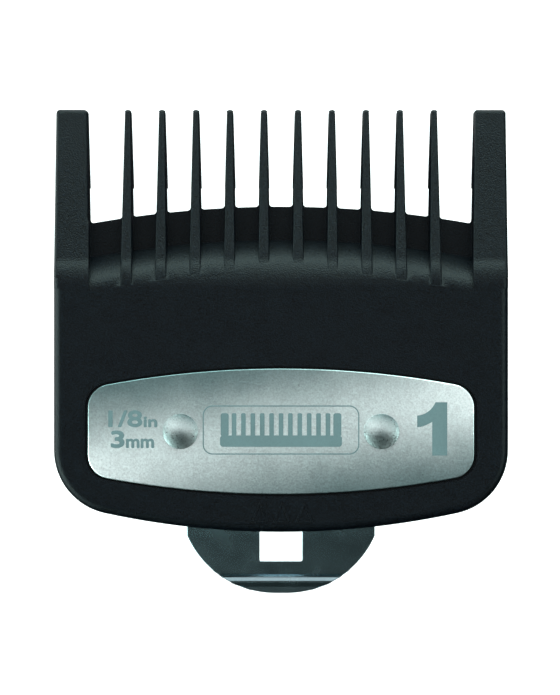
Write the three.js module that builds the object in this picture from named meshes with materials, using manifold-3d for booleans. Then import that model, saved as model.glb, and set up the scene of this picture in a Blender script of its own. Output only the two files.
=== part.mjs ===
// A clipper guard comb: a moulded comb with a steel face plate and a spring clip, all held by
// two rivets. It clips over a hair clipper's blade and keeps the cutting edge a set distance
// from the skin.
//
// Millimetres. X runs across the teeth, Y runs from the outer face towards the clipper, and Z
// runs from the heel up to the tooth tips. Everything is drawn from the outer face (Y = 0) and
// the bottom of the heel (Z = 0); the group then puts the blade seat at the origin.

import * as THREE from 'three';
import { mergeVertices } from 'three/addons/utils/BufferGeometryUtils.js';
import Module from 'manifold-3d';

const wasm = await Module();
wasm.setup();

// ---- Driving dimensions -------------------------------------------------------------------

// The clipper blade that the comb fits
const blade_width = 46;
const blade_length = 33; // cutting edge to heel
const blade_thickness = 3.3;
const blade_clearance = 0.3;

// Comb body
const cut_length = 3; // from the tooth's outer face to the blade's seat, at the cutting edge
const rail_thickness = 1.7;
const rail_height = 2.4; // above the blade seat
const rail_below_blade = 2;
const ledge_width = 2.1; // blade seat beside each rail
const heel_below_blade = 5.1;
const heel_arc_radius = 92;
const heel_corner_radius = 7.1;
const heel_wall = 1.8;
const face_wall = 2.2;

// Teeth
const slender_teeth = 10;
const tooth_reach = 8.8; // past the blade's cutting edge
const tooth_tip_width = 0.75;
const tooth_root_width = 1.46;
const end_tooth_tip_width = 3.54;
const end_tooth_root_width = 3.8;
const end_tooth_corner = 0.45;
const end_gap = 3.35;
const gap_fillet = 0.4;
const tooth_tilt = THREE.MathUtils.degToRad(12);
const stop_step = 1.4; // how far a tooth's back steps out to stop the blade
const tip_step = 0.5; // what is left of that step at the tip
const tip_rounding = 0.9;

// The shoulder where the flat face turns into the teeth, and the web between the teeth
const shoulder_below_stop = 11;
const shoulder_radius = 6;
const shoulder_tilt = THREE.MathUtils.degToRad(24);
const shoulder_hollow_radius = 4;
const web_arc_radius = 120;
const web_below_stop = 2.15;
const web_thickness = 1.5;
const recess_height = 5.2; // of the hollow in front of the web
const recess_ramp = 1.6;

// Hooks that hold the blade's front corners
const hook_grip = 2.8;
const hook_overlap = 1; // over the blade's side
const hook_thickness = 1.2;
const hook_rise = 0.2; // clearance above the blade
const hook_ramp = 1.7; // from the rail up to the hook
const hook_relief = 0.3; // under the hook, below the blade seat
const hook_relief_margin = 0.3; // past the hook's outline

// Ribs in the pocket behind the face
const rib_width = 1.2;
const cross_rib_gap = 2; // from the clip's leaf to the cross rib
const pocket_corner_radius = 3.6;
const pocket_below_stop = 9.7;
const side_rib_gap = 2.2; // from the clip's leaf to the lower ribs

// Face plate
const plate_side_margin = 3.7;
const plate_heel_margin = 4.3;
const plate_height = 13.8;
const plate_arc_radius = 105;
const plate_corner_radius = 2.6;
const plate_thickness = 0.5;
const plate_recess = 0.45;
const plate_clearance = 0.25;

// Rivets
const rivet_spacing = 22.1;
const rivet_head_radius = 1.92;
const rivet_head_height = 0.55;
const rivet_shank_radius = 1.1;
const rivet_tail_radius = 1.7;
const rivet_tail_height = 0.6;
const rivet_edge = 0.12; // height of the head's rim, and the tail's chamfer
const rivet_clearance = 0.1;

// Spring clip
const sheet_thickness = 0.45;
const clip_width = 21.3;
const leaf_margin = 3.25; // outside each rivet
const leaf_height = 6.4;
const leaf_corner_radius = 3;
const leaf_neck_end = 4.85;
const clip_bend_radius = 1;
const clip_run_height = 2.7;
const catch_rise = 1.4; // above the blade's heel
const catch_reach = 0.85; // past the blade's back
const catch_foot = 0.5; // in front of the blade's back
const catch_radius = 0.75;
const clip_side_gap = 0.6;
const window_width = 4.84; // between the clip's two legs
const window_bottom = -4;
const window_margin = 2.6; // from the leaf to the window
const flap_bend = [2.6, -1.1]; // each is the distance behind the catch, and the height
const flap_bead_start = [3.45, -5.7];
const flap_bead_peak = [3.05, -6.35];
const flap_bead_end = [3.52, -6.95];
const flap_end = [3.62, -7.65];
const flap_bend_radius = 3;
const bead_radius = 0.4;
const flap_corner_radius = 10.9;
const flap_flat = 1.3; // between the two round corners, along the bottom edge

// Gaps between separate pieces
const part_gap = 0.03; // between faces that rest on each other
const split_gap = 0.3;

// ---- What follows from them -----------------------------------------------------------------

const half_width = blade_width / 2 + blade_clearance + rail_thickness;
const rail_inner = blade_width / 2 + blade_clearance;
const pocket_half_width = rail_inner - ledge_width;
const stop_height = heel_below_blade + blade_length;
const comb_height = stop_height + tooth_reach;

// Outer face in side view: flat, then a convex bend, a hollow one, and the teeth's own slope
const bend_start = stop_height - shoulder_below_stop;
const bend_end = [
  shoulder_radius * (1 - Math.cos(shoulder_tilt)),
  bend_start + shoulder_radius * Math.sin(shoulder_tilt),
];
const hollow_centre = [
  bend_end[0] - shoulder_hollow_radius * Math.cos(shoulder_tilt),
  bend_end[1] + shoulder_hollow_radius * Math.sin(shoulder_tilt),
];
const tooth_start = [
  hollow_centre[0] + shoulder_hollow_radius * Math.cos(tooth_tilt),
  hollow_centre[1] - shoulder_hollow_radius * Math.sin(tooth_tilt),
];
const tooth_face = (height) => tooth_start[0] + (height - tooth_start[1]) * Math.tan(tooth_tilt);

const seat_depth = tooth_face(stop_height) + cut_length;
const web_height = stop_height - web_below_stop;
const recess_start = web_height - recess_height;
const web_front = seat_depth - web_thickness;
const origin_height = web_height - recess_height / 2;
const hook_start = seat_depth + blade_thickness + hook_rise;
const hook_back = hook_start + hook_thickness;

const plate_half_width = half_width - plate_side_margin;
const plate_front = plate_recess - plate_thickness - part_gap;
const rivet_height = plate_heel_margin + plate_height / 2;
const leaf_front = face_wall + part_gap;
const leaf_back = leaf_front + sheet_thickness;
const leaf_top = rivet_height + leaf_height / 2;
const half_leaf = rivet_spacing / 2 + leaf_margin;
const cross_rib_bottom = leaf_top + cross_rib_gap;

const blade_back = seat_depth + blade_thickness;
const catch_peak = [blade_back + catch_reach, heel_below_blade + catch_rise];
const behind_clip = catch_peak[0] + flap_end[0] + 2;
const above_clip = catch_peak[1] + 2;

// ---- Solids -----------------------------------------------------------------------------------

const arc_segments = 4;

function solid(geometry) {
  const bare = geometry.clone();
  bare.deleteAttribute('normal');
  bare.deleteAttribute('uv');
  const merged = mergeVertices(bare);
  return new wasm.Manifold(new wasm.Mesh({
    numProp: 3,
    vertProperties: new Float32Array(merged.attributes.position.array),
    triVerts: new Uint32Array(merged.index.array),
  }));
}

function extrude(shape, depth) {
  return new THREE.ExtrudeGeometry(shape, { depth, bevelEnabled: false, curveSegments: arc_segments });
}

// A shape drawn in (x, z), extruded from front to back
function along_y(shape, front, back) {
  const geometry = extrude(shape, back - front);
  geometry.rotateX(Math.PI / 2);
  geometry.translate(0, back, 0);
  return solid(geometry);
}

// A shape drawn in (y, z), extruded from left to right
function along_x(shape, left, right) {
  const geometry = extrude(shape, right - left);
  geometry.applyMatrix4(new THREE.Matrix4().set(0, 0, 1, left, 1, 0, 0, 0, 0, 1, 0, 0, 0, 0, 0, 1));
  return solid(geometry);
}

function box([left, front, bottom], [right, back, top]) {
  const geometry = new THREE.BoxGeometry(right - left, back - front, top - bottom);
  geometry.translate((left + right) / 2, (front + back) / 2, (bottom + top) / 2);
  return solid(geometry);
}

function pin(x, z, radius, front, back) {
  const geometry = new THREE.CylinderGeometry(radius, radius, back - front, 24);
  geometry.translate(x, (front + back) / 2, z);
  return solid(geometry);
}

const union = (solids) => wasm.Manifold.union(solids);
const polygon = (points) => new THREE.Shape(points.map(([u, v]) => new THREE.Vector2(u, v)));
const mirrored = (piece) => piece.add(piece.mirror([1, 0, 0]));

function mesh(name, piece, material) {
  const { vertProperties, triVerts } = piece.getMesh();
  const geometry = new THREE.BufferGeometry();
  geometry.setAttribute('position', new THREE.BufferAttribute(vertProperties, 3));
  geometry.setIndex(new THREE.BufferAttribute(triVerts, 1));
  geometry.computeVertexNormals();
  const result = new THREE.Mesh(geometry, material);
  result.name = name;
  return result;
}

// ---- Outlines -----------------------------------------------------------------------------------

// Where a round corner meets the big arc below it: the corner's centre and the arc's half angle
function corner_on_arc(half, arc_radius, corner_radius) {
  const x = half - corner_radius;
  const reach = arc_radius - corner_radius;
  return { x, drop: arc_radius - Math.sqrt(reach ** 2 - x ** 2), half_angle: Math.asin(x / reach) };
}

// The heel's arc and its two round corners, drawn from the left side to the right
function draw_heel(shape, half, bottom, arc_radius, corner_radius) {
  const { x, drop, half_angle } = corner_on_arc(half, arc_radius, corner_radius);
  const down = -Math.PI / 2;
  shape.absarc(-x, bottom + drop, corner_radius, -Math.PI, down - half_angle, false);
  shape.absarc(0, bottom + arc_radius, arc_radius, down - half_angle, down + half_angle, false);
  shape.absarc(x, bottom + drop, corner_radius, down + half_angle, 0, false);
}

function heel_outline(half, bottom, top, arc_radius, corner_radius) {
  const shape = new THREE.Shape();
  draw_heel(shape, half, bottom, arc_radius, corner_radius);
  shape.lineTo(half, top);
  shape.lineTo(-half, top);
  return shape;
}

// A plate with a bowed top and bottom edge and four round corners
function plate_outline(grow) {
  const half = plate_half_width + grow;
  const bottom = plate_heel_margin - grow;
  const top = plate_heel_margin + plate_height + grow;
  const arc_radius = plate_arc_radius + grow;
  const corner_radius = plate_corner_radius + grow;
  const { x, drop, half_angle } = corner_on_arc(half, arc_radius, corner_radius);
  const up = Math.PI / 2;
  const shape = new THREE.Shape();
  draw_heel(shape, half, bottom, arc_radius, corner_radius);
  shape.absarc(x, top - drop, corner_radius, 0, up - half_angle, false);
  shape.absarc(0, top - arc_radius, arc_radius, up - half_angle, up + half_angle, false);
  shape.absarc(-x, top - drop, corner_radius, up + half_angle, Math.PI, false);
  return shape;
}

// How far an arc of the web's radius has dropped at x
const arc_drop = (x) => web_arc_radius - Math.sqrt(web_arc_radius ** 2 - x ** 2);

// Tooth flanks, as x at a height
const taper = (tip, root) => (height) => {
  const share = (comb_height - height) / (comb_height - recess_start);
  return tip + (root - tip) * share;
};
const end_tooth_width = taper(end_tooth_tip_width, end_tooth_root_width);
const slender_half_width = taper(tooth_tip_width / 2, tooth_root_width / 2);
const last_centre = half_width - end_tooth_root_width - end_gap - tooth_root_width / 2;
const tooth_pitch = (2 * last_centre) / (slender_teeth - 1);
const tooth_centres = Array.from({ length: slender_teeth }, (_, i) => last_centre - i * tooth_pitch);

// The gaps between teeth, from right to left, each with its two walls
const right_walls = [
  (height) => half_width - end_tooth_width(height),
  ...tooth_centres.map((centre) => (height) => centre - slender_half_width(height)),
];
const left_walls = [
  ...tooth_centres.map((centre) => (height) => centre + slender_half_width(height)),
  (height) => end_tooth_width(height) - half_width,
];
const gaps = right_walls.map((right, i) => ({ right, left: left_walls[i] }));

// The comb from the front: heel, sides, end teeth, and each gap and slender tooth in turn
function comb_outline() {
  const shape = new THREE.Shape();
  const corner = end_tooth_corner;
  const corner_height = comb_height - corner;
  const quarter = Math.PI / 2;
  draw_heel(shape, half_width, 0, heel_arc_radius, heel_corner_radius);
  shape.absarc(half_width - corner, corner_height, corner, 0, quarter, false);
  const inner_tip = gaps[0].right(comb_height);
  shape.absarc(inner_tip + corner, corner_height, corner, quarter, 2 * quarter, false);
  gaps.forEach(({ right, left }, i) => {
    const x_right = right(web_height) - gap_fillet;
    const x_left = left(web_height) + gap_fillet;
    const z_right = web_height - arc_drop(x_right) + gap_fillet;
    const z_left = web_height - arc_drop(x_left) + gap_fillet;
    shape.absarc(x_right, z_right, gap_fillet, 0, -quarter, true);
    shape.absarc(x_left, z_left, gap_fillet, -quarter, -2 * quarter, true);
    if (i < slender_teeth) {
      const tip_radius = tooth_tip_width / 2;
      shape.absarc(tooth_centres[i], comb_height - tip_radius, tip_radius, 0, 2 * quarter, false);
    }
  });
  shape.absarc(-inner_tip - corner, corner_height, corner, 0, quarter, false);
  shape.absarc(-half_width + corner, corner_height, corner, quarter, 2 * quarter, false);
  return shape;
}

// The comb from the side, without rails and hooks
function comb_profile() {
  const shape = new THREE.Shape();
  const tip_front = tooth_face(comb_height);
  const tip_back = seat_depth + tip_step;
  const below_tip = comb_height - tip_rounding;
  shape.moveTo(0, -1);
  shape.lineTo(0, bend_start);
  shape.absarc(shoulder_radius, bend_start, shoulder_radius, Math.PI, Math.PI - shoulder_tilt, true);
  shape.absarc(...hollow_centre, shoulder_hollow_radius, -shoulder_tilt, -tooth_tilt, false);
  shape.lineTo(tooth_face(below_tip), below_tip);
  shape.quadraticCurveTo(tip_front, comb_height, tip_front + tip_rounding / 2, comb_height);
  shape.lineTo(tip_back - tip_rounding / 2, comb_height);
  shape.quadraticCurveTo(tip_back, comb_height, tip_back, below_tip);
  shape.lineTo(seat_depth + stop_step, stop_height);
  shape.lineTo(seat_depth, stop_height);
  shape.lineTo(seat_depth, -1);
  return shape;
}

// ---- Comb body --------------------------------------------------------------------------------------

function side_rail() {
  const back = seat_depth + rail_height;
  const root = seat_depth - 1;
  const hook_bottom = stop_height - hook_grip;
  return along_x(polygon([
    [root, heel_below_blade - rail_below_blade],
    [seat_depth, heel_below_blade - rail_below_blade],
    [back, heel_below_blade + rail_height],
    [back, hook_bottom - hook_ramp],
    [hook_back, hook_bottom],
    [hook_back, stop_height + hook_thickness],
    [seat_depth + stop_step, stop_height + rail_height + hook_thickness],
    [root, stop_height + rail_height + hook_thickness],
  ]), rail_inner, half_width);
}

function corner_hook() {
  return along_x(polygon([
    [hook_start, stop_height - hook_grip],
    [hook_back, stop_height - hook_grip],
    [hook_back, stop_height + hook_thickness],
    [seat_depth + stop_step, stop_height + rail_height + hook_thickness],
    [seat_depth - 1, stop_height + rail_height + hook_thickness],
    [seat_depth - 1, stop_height],
    [hook_start, stop_height],
  ]), blade_width / 2 - hook_overlap, half_width);
}

// The hollow in front of the web, in one gap between two teeth
function web_recess({ left, right }) {
  const drop = arc_drop((left(web_height) + right(web_height)) / 2);
  const low = bend_start;
  const high = web_height + 1;
  const start = recess_start - drop;
  const column = polygon([[left(low), low], [right(low), low], [right(high), high], [left(high), high]]);
  const ramp_slope = recess_ramp / (web_front - tooth_start[0]);
  const hollow = polygon([
    [-1, start - ramp_slope * (1 + tooth_start[0])],
    [web_front, start + recess_ramp],
    [web_front, high],
    [-1, high],
  ]);
  return along_y(column, -1, web_front + 1).intersect(along_x(hollow, -half_width, half_width));
}

// The pocket behind the face, less the ribs that carry the blade
function pocket() {
  const ceiling = stop_height - pocket_below_stop;
  const hollow = along_y(
    heel_outline(
      pocket_half_width, heel_wall, ceiling, heel_arc_radius - heel_wall, pocket_corner_radius),
    face_wall, seat_depth + 1);
  const rib = (x, bottom, top) =>
    box([x - rib_width / 2, face_wall - 1, bottom], [x + rib_width / 2, seat_depth + 2, top]);
  const cross_rib = box(
    [-half_width, face_wall - 1, cross_rib_bottom],
    [half_width, seat_depth + 2, cross_rib_bottom + rib_width]);
  const side_rib = rib(
    half_leaf + side_rib_gap + rib_width / 2, 0, cross_rib_bottom + rib_width / 2);
  const long_ribs = tooth_centres.map((x) => rib(x, cross_rib_bottom + rib_width / 2, ceiling + 1));
  return hollow.subtract(union([cross_rib, mirrored(side_rib), ...long_ribs]));
}

function comb_body() {
  const envelope = union([
    along_x(comb_profile(), -half_width - 1, half_width + 1),
    mirrored(side_rail()),
    mirrored(corner_hook()),
  ]);
  const notch_half = clip_width / 2 + clip_side_gap;
  const clip_notch = box([-notch_half, face_wall, -1], [notch_half, hook_back, leaf_neck_end]);
  const plate_seat = along_y(plate_outline(plate_clearance), -1, plate_recess);
  const hole = pin(
    rivet_spacing / 2, rivet_height, rivet_shank_radius + rivet_clearance, -1, face_wall + 1);
  const relief = box(
    [
      blade_width / 2 - hook_overlap - hook_relief_margin,
      seat_depth - hook_relief,
      stop_height - hook_grip - hook_relief_margin,
    ],
    [rail_inner, seat_depth + 1, stop_height]);
  return along_y(comb_outline(), -1, hook_back + 1)
    .intersect(envelope)
    .subtract(union([
      ...gaps.map(web_recess), pocket(), clip_notch, plate_seat, mirrored(hole), mirrored(relief),
    ]));
}

// ---- Face plate, rivets and clip ----------------------------------------------------------------------

function face_plate() {
  const hole = pin(rivet_spacing / 2, rivet_height, rivet_shank_radius + rivet_clearance, -1, 2);
  return along_y(plate_outline(0), plate_front, plate_front + plate_thickness)
    .subtract(mirrored(hole));
}

function rivet(side) {
  const under_head = plate_front - part_gap;
  const under_tail = leaf_back + part_gap;
  const profile = new THREE.Path();
  profile.moveTo(0, under_tail + rivet_tail_height);
  profile.lineTo(rivet_tail_radius - rivet_edge, under_tail + rivet_tail_height);
  profile.lineTo(rivet_tail_radius, under_tail + rivet_tail_height - rivet_edge);
  profile.lineTo(rivet_tail_radius, under_tail);
  profile.lineTo(rivet_shank_radius, under_tail);
  profile.lineTo(rivet_shank_radius, under_head);
  profile.lineTo(rivet_head_radius, under_head);
  profile.lineTo(rivet_head_radius, under_head - rivet_edge);
  profile.quadraticCurveTo(
    rivet_head_radius * 0.7, under_head - rivet_head_height,
    0, under_head - rivet_head_height);
  const points = profile.getPoints(5).reverse();
  const geometry = new THREE.LatheGeometry(points, 28);
  geometry.translate(side * rivet_spacing / 2, 0, rivet_height);
  return solid(geometry);
}

// A sheet seen edge on: a bent centre line, with its corners rounded, given a thickness
function bent_sheet(corners, thickness) {
  const points = corners.map(([y, z]) => new THREE.Vector2(y, z));
  const line = [points[0]];
  for (let i = 1; i < points.length - 1; i += 1) {
    const radius = corners[i][2];
    const back = points[i - 1].clone().sub(points[i]).normalize();
    const onward = points[i + 1].clone().sub(points[i]).normalize();
    const half_turn = (Math.PI - back.angleTo(onward)) / 2;
    const reach = radius * Math.tan(half_turn);
    const enter = points[i].clone().addScaledVector(back, reach);
    const leave = points[i].clone().addScaledVector(onward, reach);
    const bend = new THREE.Path();
    const centre = points[i].clone().addScaledVector(
      back.clone().add(onward).normalize(), radius / Math.cos(half_turn));
    const start = enter.clone().sub(centre).angle();
    const end = leave.clone().sub(centre).angle();
    const clockwise = back.cross(onward) > 0;
    bend.absarc(centre.x, centre.y, radius, start, end, clockwise);
    line.push(...bend.getPoints(arc_segments / 2));
  }
  line.push(points.at(-1));
  const side = (sign) => line.map((point, i) => {
    const before = line[Math.max(i - 1, 0)];
    const after = line[Math.min(i + 1, line.length - 1)];
    const run = after.clone().sub(before).normalize();
    return new THREE.Vector2(-run.y, run.x).multiplyScalar(sign * thickness / 2).add(point);
  });
  return new THREE.Shape([...side(1), ...side(-1).reverse()]);
}

// The part of the clip that lies flat on the inside of the wall, under the rivets' tails
function clip_leaf() {
  const ears = new THREE.Shape();
  const low = rivet_height - leaf_height / 2 + leaf_corner_radius;
  const high = rivet_height + leaf_height / 2 - leaf_corner_radius;
  const inner = half_leaf - leaf_corner_radius;
  const quarter = Math.PI / 2;
  ears.absarc(inner, low, leaf_corner_radius, -quarter, 0, false);
  ears.absarc(inner, high, leaf_corner_radius, 0, quarter, false);
  ears.absarc(-inner, high, leaf_corner_radius, quarter, 2 * quarter, false);
  ears.absarc(-inner, low, leaf_corner_radius, -2 * quarter, -quarter, false);
  const neck = box(
    [-clip_width / 2, leaf_front, leaf_neck_end], [clip_width / 2, leaf_back, rivet_height]);
  const hole = pin(
    rivet_spacing / 2, rivet_height, rivet_shank_radius + rivet_clearance,
    leaf_front - 1, leaf_back + 1);
  return along_y(ears, leaf_front, leaf_back).add(neck).subtract(mirrored(hole));
}

// The flap's outline from the front: straight sides that run into two large round corners
function flap_outline() {
  const half = clip_width / 2;
  const x = flap_flat / 2;
  const z = flap_end[1] + flap_corner_radius;
  const side = Math.acos((half - x) / flap_corner_radius);
  const down = -Math.PI / 2;
  const shape = new THREE.Shape();
  shape.absarc(-x, z, flap_corner_radius, -Math.PI + side, down, false);
  shape.absarc(x, z, flap_corner_radius, down, -side, false);
  shape.lineTo(half, above_clip);
  shape.lineTo(-half, above_clip);
  return shape;
}

// The springy part: round the bend, back past the blade's heel, over the catch and down the flap
function clip_tongue() {
  const middle = leaf_front + sheet_thickness / 2;
  const behind_catch = ([out, height], radius) => [catch_peak[0] + out, height, radius];
  const profile = bent_sheet([
    [middle, leaf_neck_end - split_gap],
    [middle, clip_run_height, clip_bend_radius],
    [blade_back - catch_foot, clip_run_height, catch_radius],
    [...catch_peak, catch_radius],
    behind_catch(flap_bend, flap_bend_radius),
    behind_catch(flap_bead_start, bead_radius),
    behind_catch(flap_bead_peak, bead_radius),
    behind_catch(flap_bead_end, bead_radius),
    behind_catch(flap_end),
  ], sheet_thickness);
  const half = clip_width / 2;
  const window = box(
    [-window_width / 2, middle + window_margin, window_bottom],
    [window_width / 2, behind_clip, above_clip]);
  return along_x(profile, -half - 1, half + 1)
    .intersect(along_y(flap_outline(), 0, behind_clip))
    .subtract(window);
}

// ---- The part --------------------------------------------------------------------------------------------

const finish = (color, roughness, metalness) =>
  new THREE.MeshStandardMaterial({ color, roughness, metalness });
const black_nylon = finish('#1c2023', 0.55, 0);
const satin_steel = finish('#b4c3c6', 0.35, 1);
const rivet_steel = finish('#a2b2b6', 0.3, 1);
const spring_steel = finish('#8d9ca1', 0.3, 1);

const group = new THREE.Group();
group.add(
  mesh('comb_body', comb_body(), black_nylon),
  mesh('face_plate', face_plate(), satin_steel),
  mesh('rivet_left', rivet(-1), rivet_steel),
  mesh('rivet_right', rivet(1), rivet_steel),
  mesh('clip_leaf', clip_leaf(), spring_steel),
  mesh('clip_tongue', clip_tongue(), spring_steel),
);
group.position.set(0, -seat_depth, -origin_height);

export default group;
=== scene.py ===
"""A guard comb for a hair clipper: a moulded comb with a steel face plate, two rivets and a
spring clip, on a plain studio stage.

The pieces are drawn on a bench in millimetres, where X runs across the teeth, Y from the outer
face towards the clipper and Z from the bottom of the heel to the tips. Each finished piece is
then put into the frame's own place, in metres.
"""

import math
from types import SimpleNamespace

import bmesh
import bpy
from bpy.props import FloatProperty, FloatVectorProperty, IntProperty, PointerProperty
from mathutils import Matrix, Vector


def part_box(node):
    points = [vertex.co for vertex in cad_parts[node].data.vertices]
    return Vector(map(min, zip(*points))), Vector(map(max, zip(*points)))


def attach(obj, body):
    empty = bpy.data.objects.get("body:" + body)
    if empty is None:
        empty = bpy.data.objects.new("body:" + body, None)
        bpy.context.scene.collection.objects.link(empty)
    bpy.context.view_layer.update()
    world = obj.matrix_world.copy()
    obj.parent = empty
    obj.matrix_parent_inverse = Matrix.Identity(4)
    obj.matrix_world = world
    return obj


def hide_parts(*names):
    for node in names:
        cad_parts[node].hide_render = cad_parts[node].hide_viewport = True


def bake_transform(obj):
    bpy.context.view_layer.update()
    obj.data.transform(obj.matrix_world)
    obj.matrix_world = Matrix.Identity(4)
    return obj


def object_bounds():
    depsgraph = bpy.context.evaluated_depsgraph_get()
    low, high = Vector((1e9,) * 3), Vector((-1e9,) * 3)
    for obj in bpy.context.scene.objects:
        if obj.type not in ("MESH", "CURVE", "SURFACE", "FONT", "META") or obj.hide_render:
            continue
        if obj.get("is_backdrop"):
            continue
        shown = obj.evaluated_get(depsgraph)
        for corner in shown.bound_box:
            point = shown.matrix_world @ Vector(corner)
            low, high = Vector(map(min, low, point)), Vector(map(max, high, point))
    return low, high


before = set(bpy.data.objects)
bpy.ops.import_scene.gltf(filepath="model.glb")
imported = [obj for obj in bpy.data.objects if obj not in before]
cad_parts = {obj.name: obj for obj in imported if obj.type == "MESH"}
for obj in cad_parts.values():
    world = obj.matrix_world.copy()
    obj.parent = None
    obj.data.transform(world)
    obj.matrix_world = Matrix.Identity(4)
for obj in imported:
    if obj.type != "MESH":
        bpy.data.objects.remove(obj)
cad_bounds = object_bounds()

bl_info = {
    "name": "Clipper guard comb",
    "version": (1, 0, 0),
    "blender": (4, 5, 0),
    "location": "3D View > Sidebar > Guard comb",
    "description": "Builds a hair clipper's guard comb on its packed frame",
    "category": "Object",
}

MM = 0.001
SMOOTH_BELOW = 38  # degrees between two faces


def bench_box(node):
    """A frame node's lowest and highest corner on the bench."""
    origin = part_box("comb_body")[0]
    offset = Vector((0, origin.y, origin.z))
    return [(corner - offset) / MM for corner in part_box(node)]


COMB_HIGH = bench_box("comb_body")[1]
PLATE_DROP = Vector((0, 0, -0.1))
PLATE_LOW, PLATE_HIGH = [corner + PLATE_DROP for corner in bench_box("face_plate")]
RIVET_LOW, RIVET_HIGH = [corner + PLATE_DROP for corner in bench_box("rivet_right")]
LEAF_LOW, LEAF_HIGH = bench_box("clip_leaf")
TONGUE_HIGH = bench_box("clip_tongue")[1]
RIVET_SPOT = (RIVET_LOW + RIVET_HIGH) / 2


# ---- Sizes and colours ----


def length(name, description, default):
    return FloatProperty(
        name=name, description=description, default=default * MM, unit="LENGTH", precision=5)


def angle(name, description, default):
    return FloatProperty(
        name=name, description=description, default=math.radians(default), subtype="ANGLE")


def spot(name, description, default):
    return FloatVectorProperty(
        name=name, description=description, default=[value * MM for value in default], size=2,
        unit="LENGTH", precision=5)


def colour(name, description, default):
    return FloatVectorProperty(
        name=name, description=description, default=default, subtype="COLOR", min=0, max=1)


class CombSizes(bpy.types.PropertyGroup):
    """Sizes of the moulding, without its teeth"""

    seat_depth: length("Seat depth", "From the outer face to the blade's seat", 5.4275)
    stop_height: length("Stop height", "From the heel to the blade's cutting edge", 38.1)
    heel_radius: length("Heel radius", "Radius of the heel's long arc", 92)
    heel_corner: length("Heel corner", "Radius of the heel's two corners", 7.1)
    heel_wall: length("Heel wall", "Thickness of the wall round the pocket's heel", 1.8)
    face_wall: length("Face wall", "Thickness of the outer face", 2.2)
    shoulder_start: length("Shoulder start", "Height at which the flat face ends", 27.1)
    shoulder_radius: length("Shoulder radius", "Radius of the shoulder's round", 6)
    shoulder_tilt: angle("Shoulder tilt", "How far the shoulder leans back", 24)
    hollow_radius: length("Hollow radius", "Radius of the hollow above the shoulder", 4)
    web_radius: length("Web radius", "Radius of the web's long arc", 120)
    web_height: length("Web height", "Height of the web's top at the middle", 35.95)
    web_thickness: length("Web thickness", "Thickness of the web", 1.5)
    recess_start: length("Recess start", "Height at which the recess leaves the shoulder", 29.54)
    recess_rise: length("Recess rise", "Height that the recess takes to reach the web", 2.7)
    rim_round: length("Rim round", "Rounding of the end teeth's front edges", 0.43)
    body_round: length("Body round", "Rounding of the body's front edge", 0.88)
    body_top: length("Body top", "Height up to which the body's front edge is round", 26.8)
    edge_round: length("Edge round", "Rounding of the other edges", 0.1)
    pocket_half: length("Pocket half width", "Half the width of the pocket", 21.2)
    pocket_corner: length("Pocket corner", "Radius of the pocket's two corners", 3.6)
    pocket_top: length("Pocket top", "Height of the pocket's ceiling", 28.4)
    rib_width: length("Rib width", "Width of the ribs in the pocket", 1.2)
    cross_rib: length("Cross rib", "Height of the cross rib's lower side", 16.4)
    side_rib: length("Side rib", "Place of the lower ribs' inner sides", 16.5)
    rail_inner: length("Rail inner side", "Half the room between the two rails", 23.3)
    rail_bottom: length("Rail bottom", "Height of the rails' lower ends", 3.1)
    rail_full: length("Rail full height", "Where the rails reach their full depth", 7.5)
    rail_height: length("Rail height", "How far the rails stand above the seat", 2.4)
    hook_grip: length("Hook grip", "How far a hook reaches along the blade", 2.8)
    hook_start: length("Hook start", "Depth of a hook's inner face", 8.93)
    hook_inner: length("Hook inner side", "Half the room between the two hooks", 22)
    hook_ramp: length("Hook ramp", "Height of the ramp from the rail to a hook", 1.7)
    hook_relief: length("Hook relief", "Room cut round the blade's corner under a hook", 0.3)
    notch_half: length("Notch half width", "Half the width of the clip's notch", 11.25)
    notch_height: length("Notch height", "Height of the clip's notch", 4.85)
    plate_gap: length("Plate gap", "Gap round the face plate", 0.25)
    plate_recess: length("Plate recess", "Depth of the face plate's seat", 0.45)


class TeethSizes(bpy.types.PropertyGroup):
    """Sizes of the teeth"""

    count: IntProperty(name="Slender teeth", description="Number of slender teeth", default=10)
    tilt: angle("Tilt", "How far the teeth lean back", 12)
    tip_width: length("Tip width", "Width of a slender tooth at its tip", 0.88)
    root_width: length("Root width", "Width of a slender tooth at its root", 1.65)
    root_height: length("Root height", "Height at which the root width is measured", 30.75)
    end_tip_width: length("End tip width", "Width of an end tooth at its tip", 3.54)
    end_root_width: length("End root width", "Width of an end tooth at its root", 3.8)
    end_corner: length("End corner", "Radius of an end tooth's two corners", 0.45)
    end_gap: length("End gap", "Gap beside an end tooth, at the root", 3.35)
    fillet: length("Fillet", "Radius where a tooth meets the web's top", 0.4)
    draft: length("Draft", "How much narrower each side is at the front", 0.26)
    edge_round: length("Edge round", "Rounding of a slender tooth's front edges", 0.16)
    tip_round: length("Tip round", "Rounding of the tips, seen from the side", 0.45)
    tip_trim: length("Tip trim", "How far the tips stay below the frame's box", 0.12)
    stop_step: length("Stop step", "How far a tooth steps out behind the blade's edge", 1.4)
    tip_step: length("Tip step", "What is left of that step at the tip", 0.5)


class PlateSizes(bpy.types.PropertyGroup):
    """Sizes of the face plate and its marks"""

    arc_radius: length("Arc radius", "Radius of the bowed top and bottom edges", 105)
    corner: length("Corner", "Radius of the four corners", 2.6)
    inset: length("Inset", "How much narrower each end is than its seat allows", 0.1)
    edge_round: length("Edge round", "Rounding of the front edge", 0.11)
    hole: length("Hole", "Radius of the rivet holes", 1.2)
    mark_rise: length("Mark rise", "How far the marks stand off the plate", 0.012)
    badge_width: length("Badge width", "Width of the pictogram's frame", 17.2)
    badge_height: length("Badge height", "Height of the pictogram's frame", 5.4)
    badge_corner: length("Badge corner", "Radius of the frame's corners", 1.1)
    badge_line: length("Badge line", "Width of the frame's line", 0.13)


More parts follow.
